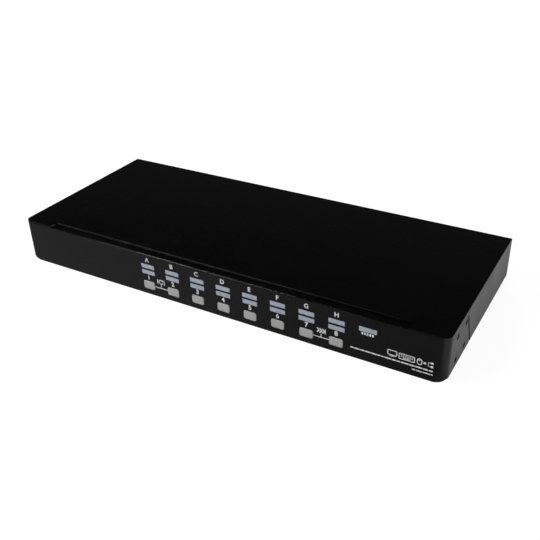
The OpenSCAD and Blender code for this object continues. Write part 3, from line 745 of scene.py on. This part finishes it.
def add_windows(node, name, places_x):
    """Light windows of one node: a face with rolled edges, ears and a neck at each place."""
    lo, hi, centre = box_and_centre(node)
    width = (hi.x - lo.x) - (places_x[-1] - places_x[0]) - 2 * WINDOW_EAR
    height = hi.z - lo.z
    roll = 0.28 * MM
    corner = 0.5 * MM
    small_corner = 0.3 * MM
    crown = 0.00005
    ear_y = PANEL_BACK_Y + 1.35 * MM
    bm = bmesh.new()
    for x in places_x:
        rings = []
        face = rounded_rect(width - 2 * roll, height - 2 * roll, small_corner, 4)
        for k in range(5):
            y = lo.y + crown * (k / 4) ** 2
            rings.append(ring_at(x, y, centre.z, face, 0.15 + 0.85 * k / 4))
        for k in range(1, 5):
            angle = math.radians(90 * k / 4)
            inset = roll * (1 - math.sin(angle))
            outline = rounded_rect(width - 2 * inset, height - 2 * inset, corner - inset, 4)
            y = lo.y + crown + roll * (1 - math.cos(angle))
            rings.append(ring_at(x, y, centre.z, outline))
        outline = rounded_rect(width, height, corner, 4)
        rings.append(ring_at(x, PANEL_BACK_Y, centre.z, outline))
        loft(bm, rings)

        ears = [(width + 2 * WINDOW_EAR - 2 * inset, height - 2 * inset, y) for inset, y in (
            (0.1 * MM, PANEL_BACK_Y), (0, PANEL_BACK_Y + 0.1 * MM),
            (0, ear_y - 0.2 * MM), (0.2 * MM, ear_y))]
        neck = ((width * 0.7, height * 0.86, ear_y - 0.1 * MM),
                (width * 0.42, height * 0.78, ear_y + 1.6 * MM),
                (5 * MM, 2.4 * MM, hi.y - 0.5 * MM),
                (4.6 * MM, 2.0 * MM, hi.y))
        for stations in (ears, neck):
            loft(bm, [ring_at(x, y, centre.z, rounded_rect(wide, high, small_corner, 3))
                      for wide, high, y in stations])
    part = add_part(name, bm, "window_blue_grey", sharp_angle=40)
    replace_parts(part, node)


buttons_x = [button.x for button in buttons]
power = box_and_centre("power_light_window")[2]
add_windows("bank_light_windows", "bank_windows", buttons_x)
add_windows("port_light_windows", "port_windows", buttons_x)
add_windows("power_light_window", "power_window", [power.x])

# ------------------------------------------------------------------ front legends

button_lo, button_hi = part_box("button_1")
cap_top = buttons[0].z + ((button_hi.z - button_lo.z) - 2 * BUTTON_COLLAR) / 2
letters_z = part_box("bank_light_windows")[1].z + 4.85 * MM
digits_z = (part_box("port_light_windows")[0].z + cap_top) / 2 + 0.75 * MM
art = Artwork(FRONT)
for i, button in enumerate(buttons):
    art.move_to(button.x, letters_z)
    art.text("ABCDEFGH"[i], height=4.4, swell=0.025)
    art.move_to(button.x, digits_z)
    art.text(str(i + 1), height=4.7, swell=0.025)
art.finish("front_letters_and_digits")

# Lines between the first and the last two buttons, each with a tick up to an icon.
LINK_CLEARANCE = 6.35                  # from a button's centre to the line's end
first_x = (buttons[0].x + buttons[1].x) / 2
last_x = (buttons[6].x + buttons[7].x) / 2
icons_z = buttons[0].z + 6.75 * MM
art = Artwork(FRONT)
for middle_x, left, right in ((first_x, *buttons[0:2]), (last_x, *buttons[6:8])):
    reach = (right.x - left.x) / MM / 2 - LINK_CLEARANCE
    art.move_to(middle_x, buttons[0].z + 0.1 * MM)
    art.line([(-reach, 0), (reach, 0)], 0.7)
    art.line([(0, 0.35), (0, 3.5)], 0.7)
# Round arrow between two bars: start again.
art.move_to(first_x, icons_z)
art.line(arc(2.1, 20, 55, 335), 0.75)
art.fill([(0.2, 2.75), (2.9, 2.3), (1.5, 0.3)])
for x in (-3.75, 3.75):
    art.bar(x, 0, 0.8, 4.8)
# Chevrons stepping to a bar: scan.
art.move_to(last_x, icons_z)
for x in (-3.7, -1.3, 1.1):
    art.line([(x, 2.3), (x + 2.0, 0), (x, -2.3)], 0.95)
art.bar(3.85, 0, 0.7, 4.8)
# Five short bars under the power window.
art.move_to(power.x, power.z - 3.75 * MM)
for k in range(-2, 3):
    art.bar(k * 2.25, 0, 1.44, 2.2)
art.finish("front_lines_and_marks")

# Device pictograms at lower right, placed from the group's right edge.
group_x = cover_hi.x - 11.0 * MM
group_z = 16.0 * MM
art = Artwork(FRONT)
# screen
art.move_to(group_x - 33.6 * MM, group_z + 0.65 * MM)
art.frame(7.4, 4.4, 0.6, steps=3, line=0.7)
art.bar(0, -3.15, 4.2, 0.65)
# keyboard
art.move_to(group_x - 21.6 * MM, group_z)
art.frame(12.6, 5.0, 0.7, steps=3, line=0.7)
art.key_rows((1.15, -0.1), columns=6, pitch=1.8, width=1.05, height=0.75)
art.bar(0, -1.4, 6.2, 0.7)
# mouse
art.move_to(group_x - 11.2 * MM, group_z)
art.frame(3.6, 5.2, 1.75, steps=6, line=0.7)
art.bar(0, 1.3, 0.6, 1.7)
# sharing: one box joined to two
art.move_to(group_x - 3.9 * MM, group_z)
art.bar(-3.0, 0, 2.0, 2.0)
for side in (-1, 1):
    art.bar(2.8, side * 1.7, 2.0, 1.8)
    art.line([(-1.9, 0), (-0.2, 0), (-0.2, side * 1.7), (1.7, side * 1.7)], 0.45)
art.finish("front_pictograms")

# Two rules below them, broken into uneven dashes: length, z and height in millimetres.
RULES = ((69.5, 10.3, 1.25), (16.8, 6.9, 1.05))
DASH_GAP = 0.55
art = Artwork(FRONT)
dashes = random.Random(3)
for length, rule_z, height in RULES:
    art.move_to(group_x, rule_z * MM)
    start = -length
    while start < -0.6:
        dash = min(dashes.uniform(2.2, 6.4), -start)
        art.bar(start + dash / 2, 0, dash, height)
        start += dash + DASH_GAP
art.finish("front_rules")

# ------------------------------------------------------------------ rear legends

ports_lo, ports_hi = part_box("port_insulators")
first_port_x = ports_hi.x - 7.65 * MM
last_port_x = ports_lo.x + 7.65 * MM
ports_x = [first_port_x + (last_port_x - first_port_x) * k / 7 for k in range(8)]
low_port_z = ports_lo.z + 3.45 * MM
high_port_z = ports_hi.z - 3.45 * MM
console = box_and_centre("console_port_insulator")[2]
chain = box_and_centre("chain_port_insulator")[2]
usb_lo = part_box("usb_shell")[0]
dc_lo, dc_hi, dc_centre = box_and_centre("dc_jack")
ground = box_and_centre("ground_screw")[2]

between_z = (low_port_z + high_port_z) / 2
upper_z, lower_z = between_z + 2.3 * MM, between_z - 2.3 * MM
art = Artwork(REAR)
# Two port numbers with a hairline between them, in each column of sockets.
for k, x in enumerate(ports_x):
    art.move_to(x, upper_z)
    art.text(str(2 * k + 1), height=2.3, swell=0.015)
    art.move_to(x, lower_z)
    art.text(str(2 * k + 2), height=2.3, swell=0.015)
    art.move_to(x, between_z)
    art.bar(0, 0, 9.0, 0.3)
# chain port: two linked loops
for shift in (-1.3, 1.3):
    art.move_to(chain.x + shift * MM, upper_z)
    art.frame(3.6, 2.0, 0.95, steps=5, line=0.4)
# console port: a screen
art.move_to(console.x, lower_z + 0.2 * MM)
art.frame(4.4, 2.4, 0.4, steps=3, line=0.4)
art.bar(0, -1.7, 2.4, 0.4)
# keyboard and mouse beside the two small sockets
art.move_to(usb_lo.x - 6.0 * MM, usb_lo.z + 3.7 * MM)
art.frame(6.4, 2.8, 0.4, steps=3, line=0.35)
art.key_rows((0.55, -0.35), columns=4, pitch=1.3, width=0.7, height=0.45)
art.move_to(usb_lo.x - 6.0 * MM, usb_lo.z + 11.6 * MM)
art.frame(2.6, 3.8, 1.25, steps=6, line=0.35)
art.bar(0, 1.0, 0.35, 1.1)
# direct current: a line over three dashes
art.move_to(dc_centre.x, dc_hi.z + 4.0 * MM)
art.bar(0, 0.6, 5.2, 0.45)
for k in (-1, 0, 1):
    art.bar(k * 1.95, -0.6, 1.3, 0.45)
# earth: a stem over three bars
art.move_to(ground.x, ground.z + 8.5 * MM)
art.bar(0, 1.5, 0.45, 1.8)
for k, width in enumerate((4.2, 2.8, 1.4)):
    art.bar(0, 0.4 - 0.95 * k, width, 0.42)
art.finish("rear_legends")

# ------------------------------------------------------------------ rear contacts

# Hollow contacts inside every socket hole: three rows of five, each row shifted sideways.
HOLE_PITCH, ROW_PITCH, ROW_SHIFT = 2.29, 1.98, 0.57    # millimetres
shell_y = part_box("port_shells")[1].y
# radius in millimetres, y
CONTACT_PROFILE = ((0.3, shell_y - 4.6 * MM), (0.46, shell_y - 4.6 * MM),
                   (0.46, shell_y - 1.5 * MM), (0.3, shell_y - 1.35 * MM))
sockets = [(x, z) for x in ports_x for z in (low_port_z, high_port_z)]
bm = bmesh.new()
for socket_x, socket_z in sockets + [(console.x, console.z), (chain.x, chain.z)]:
    for row in (-1, 0, 1):
        for column in range(-2, 3):
            x = socket_x + (column * HOLE_PITCH - row * ROW_SHIFT) * MM
            z = socket_z + row * ROW_PITCH * MM
            loft(bm, [ring_at(x, y, z, circle(radius * MM, 8))
                      for radius, y in CONTACT_PROFILE], looped=True)
add_part("socket_contacts", bm, "gold", sharp_angle=40)

# Four flat contacts for each small socket's tongue: width and length in millimetres.
USB_CONTACTS = ((1.1, 7.4), (1.0, 6.4), (1.0, 6.4), (1.1, 7.4))
bm = bmesh.new()
tongue_lo, tongue_hi, tongue = box_and_centre("usb_tongues")
for z in (tongue_lo.z, tongue_hi.z - 1.84 * MM):
    for k, (width, length) in enumerate(USB_CONTACTS):
        x = tongue.x + (k - 1.5) * 2.3 * MM
        add_box(bm, (x - width / 2 * MM, tongue_hi.y - length * MM, z - 0.12 * MM),
                (x + width / 2 * MM, tongue_hi.y - 0.6 * MM, z + 0.1 * MM))
add_part("usb_contacts", bm, "gold")

# ------------------------------------------------------------------ all other CAD pieces

SIMPLE_EDGES = ("main_board", "front_board", "insulating_sheet", "switching_chips",
                "controller_chip", "port_insulators", "console_port_insulator",
                "chain_port_insulator")
replaced = {node for part in bpy.context.scene.objects for node in part.get("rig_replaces", [])}
for node in cad_nodes:
    if node in replaced:
        continue
    if node in SIMPLE_EDGES:
        refine(node, 0.1, 1)
    else:
        refine(node, 0.12, 2)


# ------------------------------------------------------------------ floor and world

def camera_switch(shader, path, others, camera, output):
    """Shows one shader to the camera and another to all other rays."""
    mix = shader.add("ShaderNodeMixShader", {"Fac": path.outputs["Is Camera Ray"],
                                             1: others.outputs[0], 2: camera.outputs[0]})
    shader.feed(output, {"Surface": mix.outputs[0]})


def add_floor():
    material = bpy.data.materials.new("pale_floor")
    material.use_nodes = True
    shader = Shader(material.node_tree)
    output = shader.add("ShaderNodeOutputMaterial")
    path = shader.add("ShaderNodeLightPath")
    seen = shader.add("ShaderNodeEmission", {"Strength": 0.93})
    lit = shader.add("ShaderNodeBsdfDiffuse", {"Color": grey(0.16)})
    both = shader.add("ShaderNodeAddShader", {0: seen.outputs[0], 1: lit.outputs[0]})
    # Painted light on the floor, seen only in reflections: it glows brighter to the right of
    # the case than in front, for the sheet metal to mirror.
    glow = shader.add("ShaderNodeEmission")
    geometry = shader.add("ShaderNodeNewGeometry")
    place = shader.split(geometry.outputs["Position"])
    in_front = shader.remap(place["X"], span=(-0.03, 0.2), to=(0.245, 0.125))
    beside = shader.remap(place["X"], span=(0.205, 0.235), to=(0.0, 0.355))
    shader.feed(glow, {"Strength": shader.math("ADD", in_front, beside)})
    camera_switch(shader, path, glow, both, output)

    mesh = bpy.data.meshes.new("floor")
    bm = bmesh.new()
    bmesh.ops.create_grid(bm, x_segments=4, y_segments=4, size=6)
    bm.to_mesh(mesh)
    bm.free()
    floor = bpy.data.objects.new("floor", mesh)
    floor.location = (0, 0, cad_lo.z - 0.0002)
    bpy.context.scene.collection.objects.link(floor)
    mesh.materials.append(material)


def add_world():
    """White to the camera, dim to everything else."""
    world = bpy.data.worlds.new("studio")
    bpy.context.scene.world = world
    world.use_nodes = True
    shader = Shader(world.node_tree)
    output = shader.add("ShaderNodeOutputWorld")
    path = shader.add("ShaderNodeLightPath")
    seen = shader.add("ShaderNodeBackground", {"Color": WHITE, "Strength": 1.0})
    light = shader.add("ShaderNodeBackground", {"Color": WHITE})
    coords = shader.add("ShaderNodeTexCoord")
    way = shader.split(coords.outputs["Generated"])
    # The wall low down behind the case is what the rear of the cover mirrors.
    low_behind = shader.math("SUBTRACT", way["Y"], shader.math("MULTIPLY", way["Z"], 2.0))
    shader.feed(light, {"Strength": shader.remap(low_behind, span=(-0.20, -0.02),
                                                 to=(0.009, 0.054))})
    camera_switch(shader, path, light, seen, output)


add_floor()
add_world()


# ------------------------------------------------------------------ lights

def area_light(name, place, target, size, power):
    light = bpy.data.lights.new(name, "AREA")
    light.shape = "RECTANGLE"
    light.size, light.size_y = size
    light.energy = power
    lamp = bpy.data.objects.new(name, light)
    lamp.location = place
    lamp.rotation_mode = "QUATERNION"
    lamp.rotation_quaternion = (Vector(target) - Vector(place)).to_track_quat("-Z", "Y")
    bpy.context.scene.collection.objects.link(lamp)
    return lamp


CASE_MIDDLE = (0, 0, 0.02)
key = area_light("softbox_left_front", place=(-0.84, -0.73, 1.0), target=CASE_MIDDLE,
                 size=(0.95, 0.7), power=17)
key.visible_glossy = False             # the narrower light beside it draws its reflection
# A gridded strip that only reaches the left and middle of the front edge.
sheen = area_light("softbox_left_sheen", place=(-0.875, -0.87, 1.07),
                   target=(-0.03, -0.09, 0.04), size=(0.32, 0.5), power=0.115)
sheen.data.spread = math.radians(9)
sheen.visible_diffuse = False
fill = area_light("softbox_front_low", place=(0.2, -2.2, 0.75), target=CASE_MIDDLE,
                  size=(2.4, 0.5), power=20)
fill.visible_glossy = False            # fills marks and plastics without streaking the steel
area_light("softbox_back_right", place=(1.6, 1.6, 0.9), target=CASE_MIDDLE,
           size=(1.0, 0.7), power=12)
rear = area_light("softbox_rear_low", place=(-0.35, 1.7, 0.26), target=(0, 0.09, 0.02),
                  size=(1.8, 0.4), power=45)
rear.visible_glossy = False            # lights the rear panel without showing in the cover

# ------------------------------------------------------------------ camera

CAMERA_PLACE = Vector((328.666, -534.798, 369.132)) * MM
# Degrees: turned from -Y towards +X, raised above the floor, rolled about the view.
TURN, RAISE, ROLL = (math.radians(angle) for angle in (30.681, 30.621, -1.685))

lens = bpy.data.cameras.new("camera")
lens.sensor_fit = "HORIZONTAL"
lens.sensor_width = 36
lens.lens = 49.1210667
lens.clip_start, lens.clip_end = 0.01, 50
camera = bpy.data.objects.new("camera", lens)
bpy.context.scene.collection.objects.link(camera)
back = Vector((math.sin(TURN) * math.cos(RAISE), -math.cos(TURN) * math.cos(RAISE),
               math.sin(RAISE)))
level = Vector((0, 0, 1)).cross(back).normalized()
upright = back.cross(level)
across = math.cos(ROLL) * level + math.sin(ROLL) * upright
up = -math.sin(ROLL) * level + math.cos(ROLL) * upright
pose = Matrix((across, up, back)).transposed().to_4x4()
pose.translation = CAMERA_PLACE
camera.matrix_world = pose
bpy.context.scene.camera = camera
bpy.context.scene.view_settings.view_transform = "Standard"
bpy.context.scene.view_settings.look = "None"
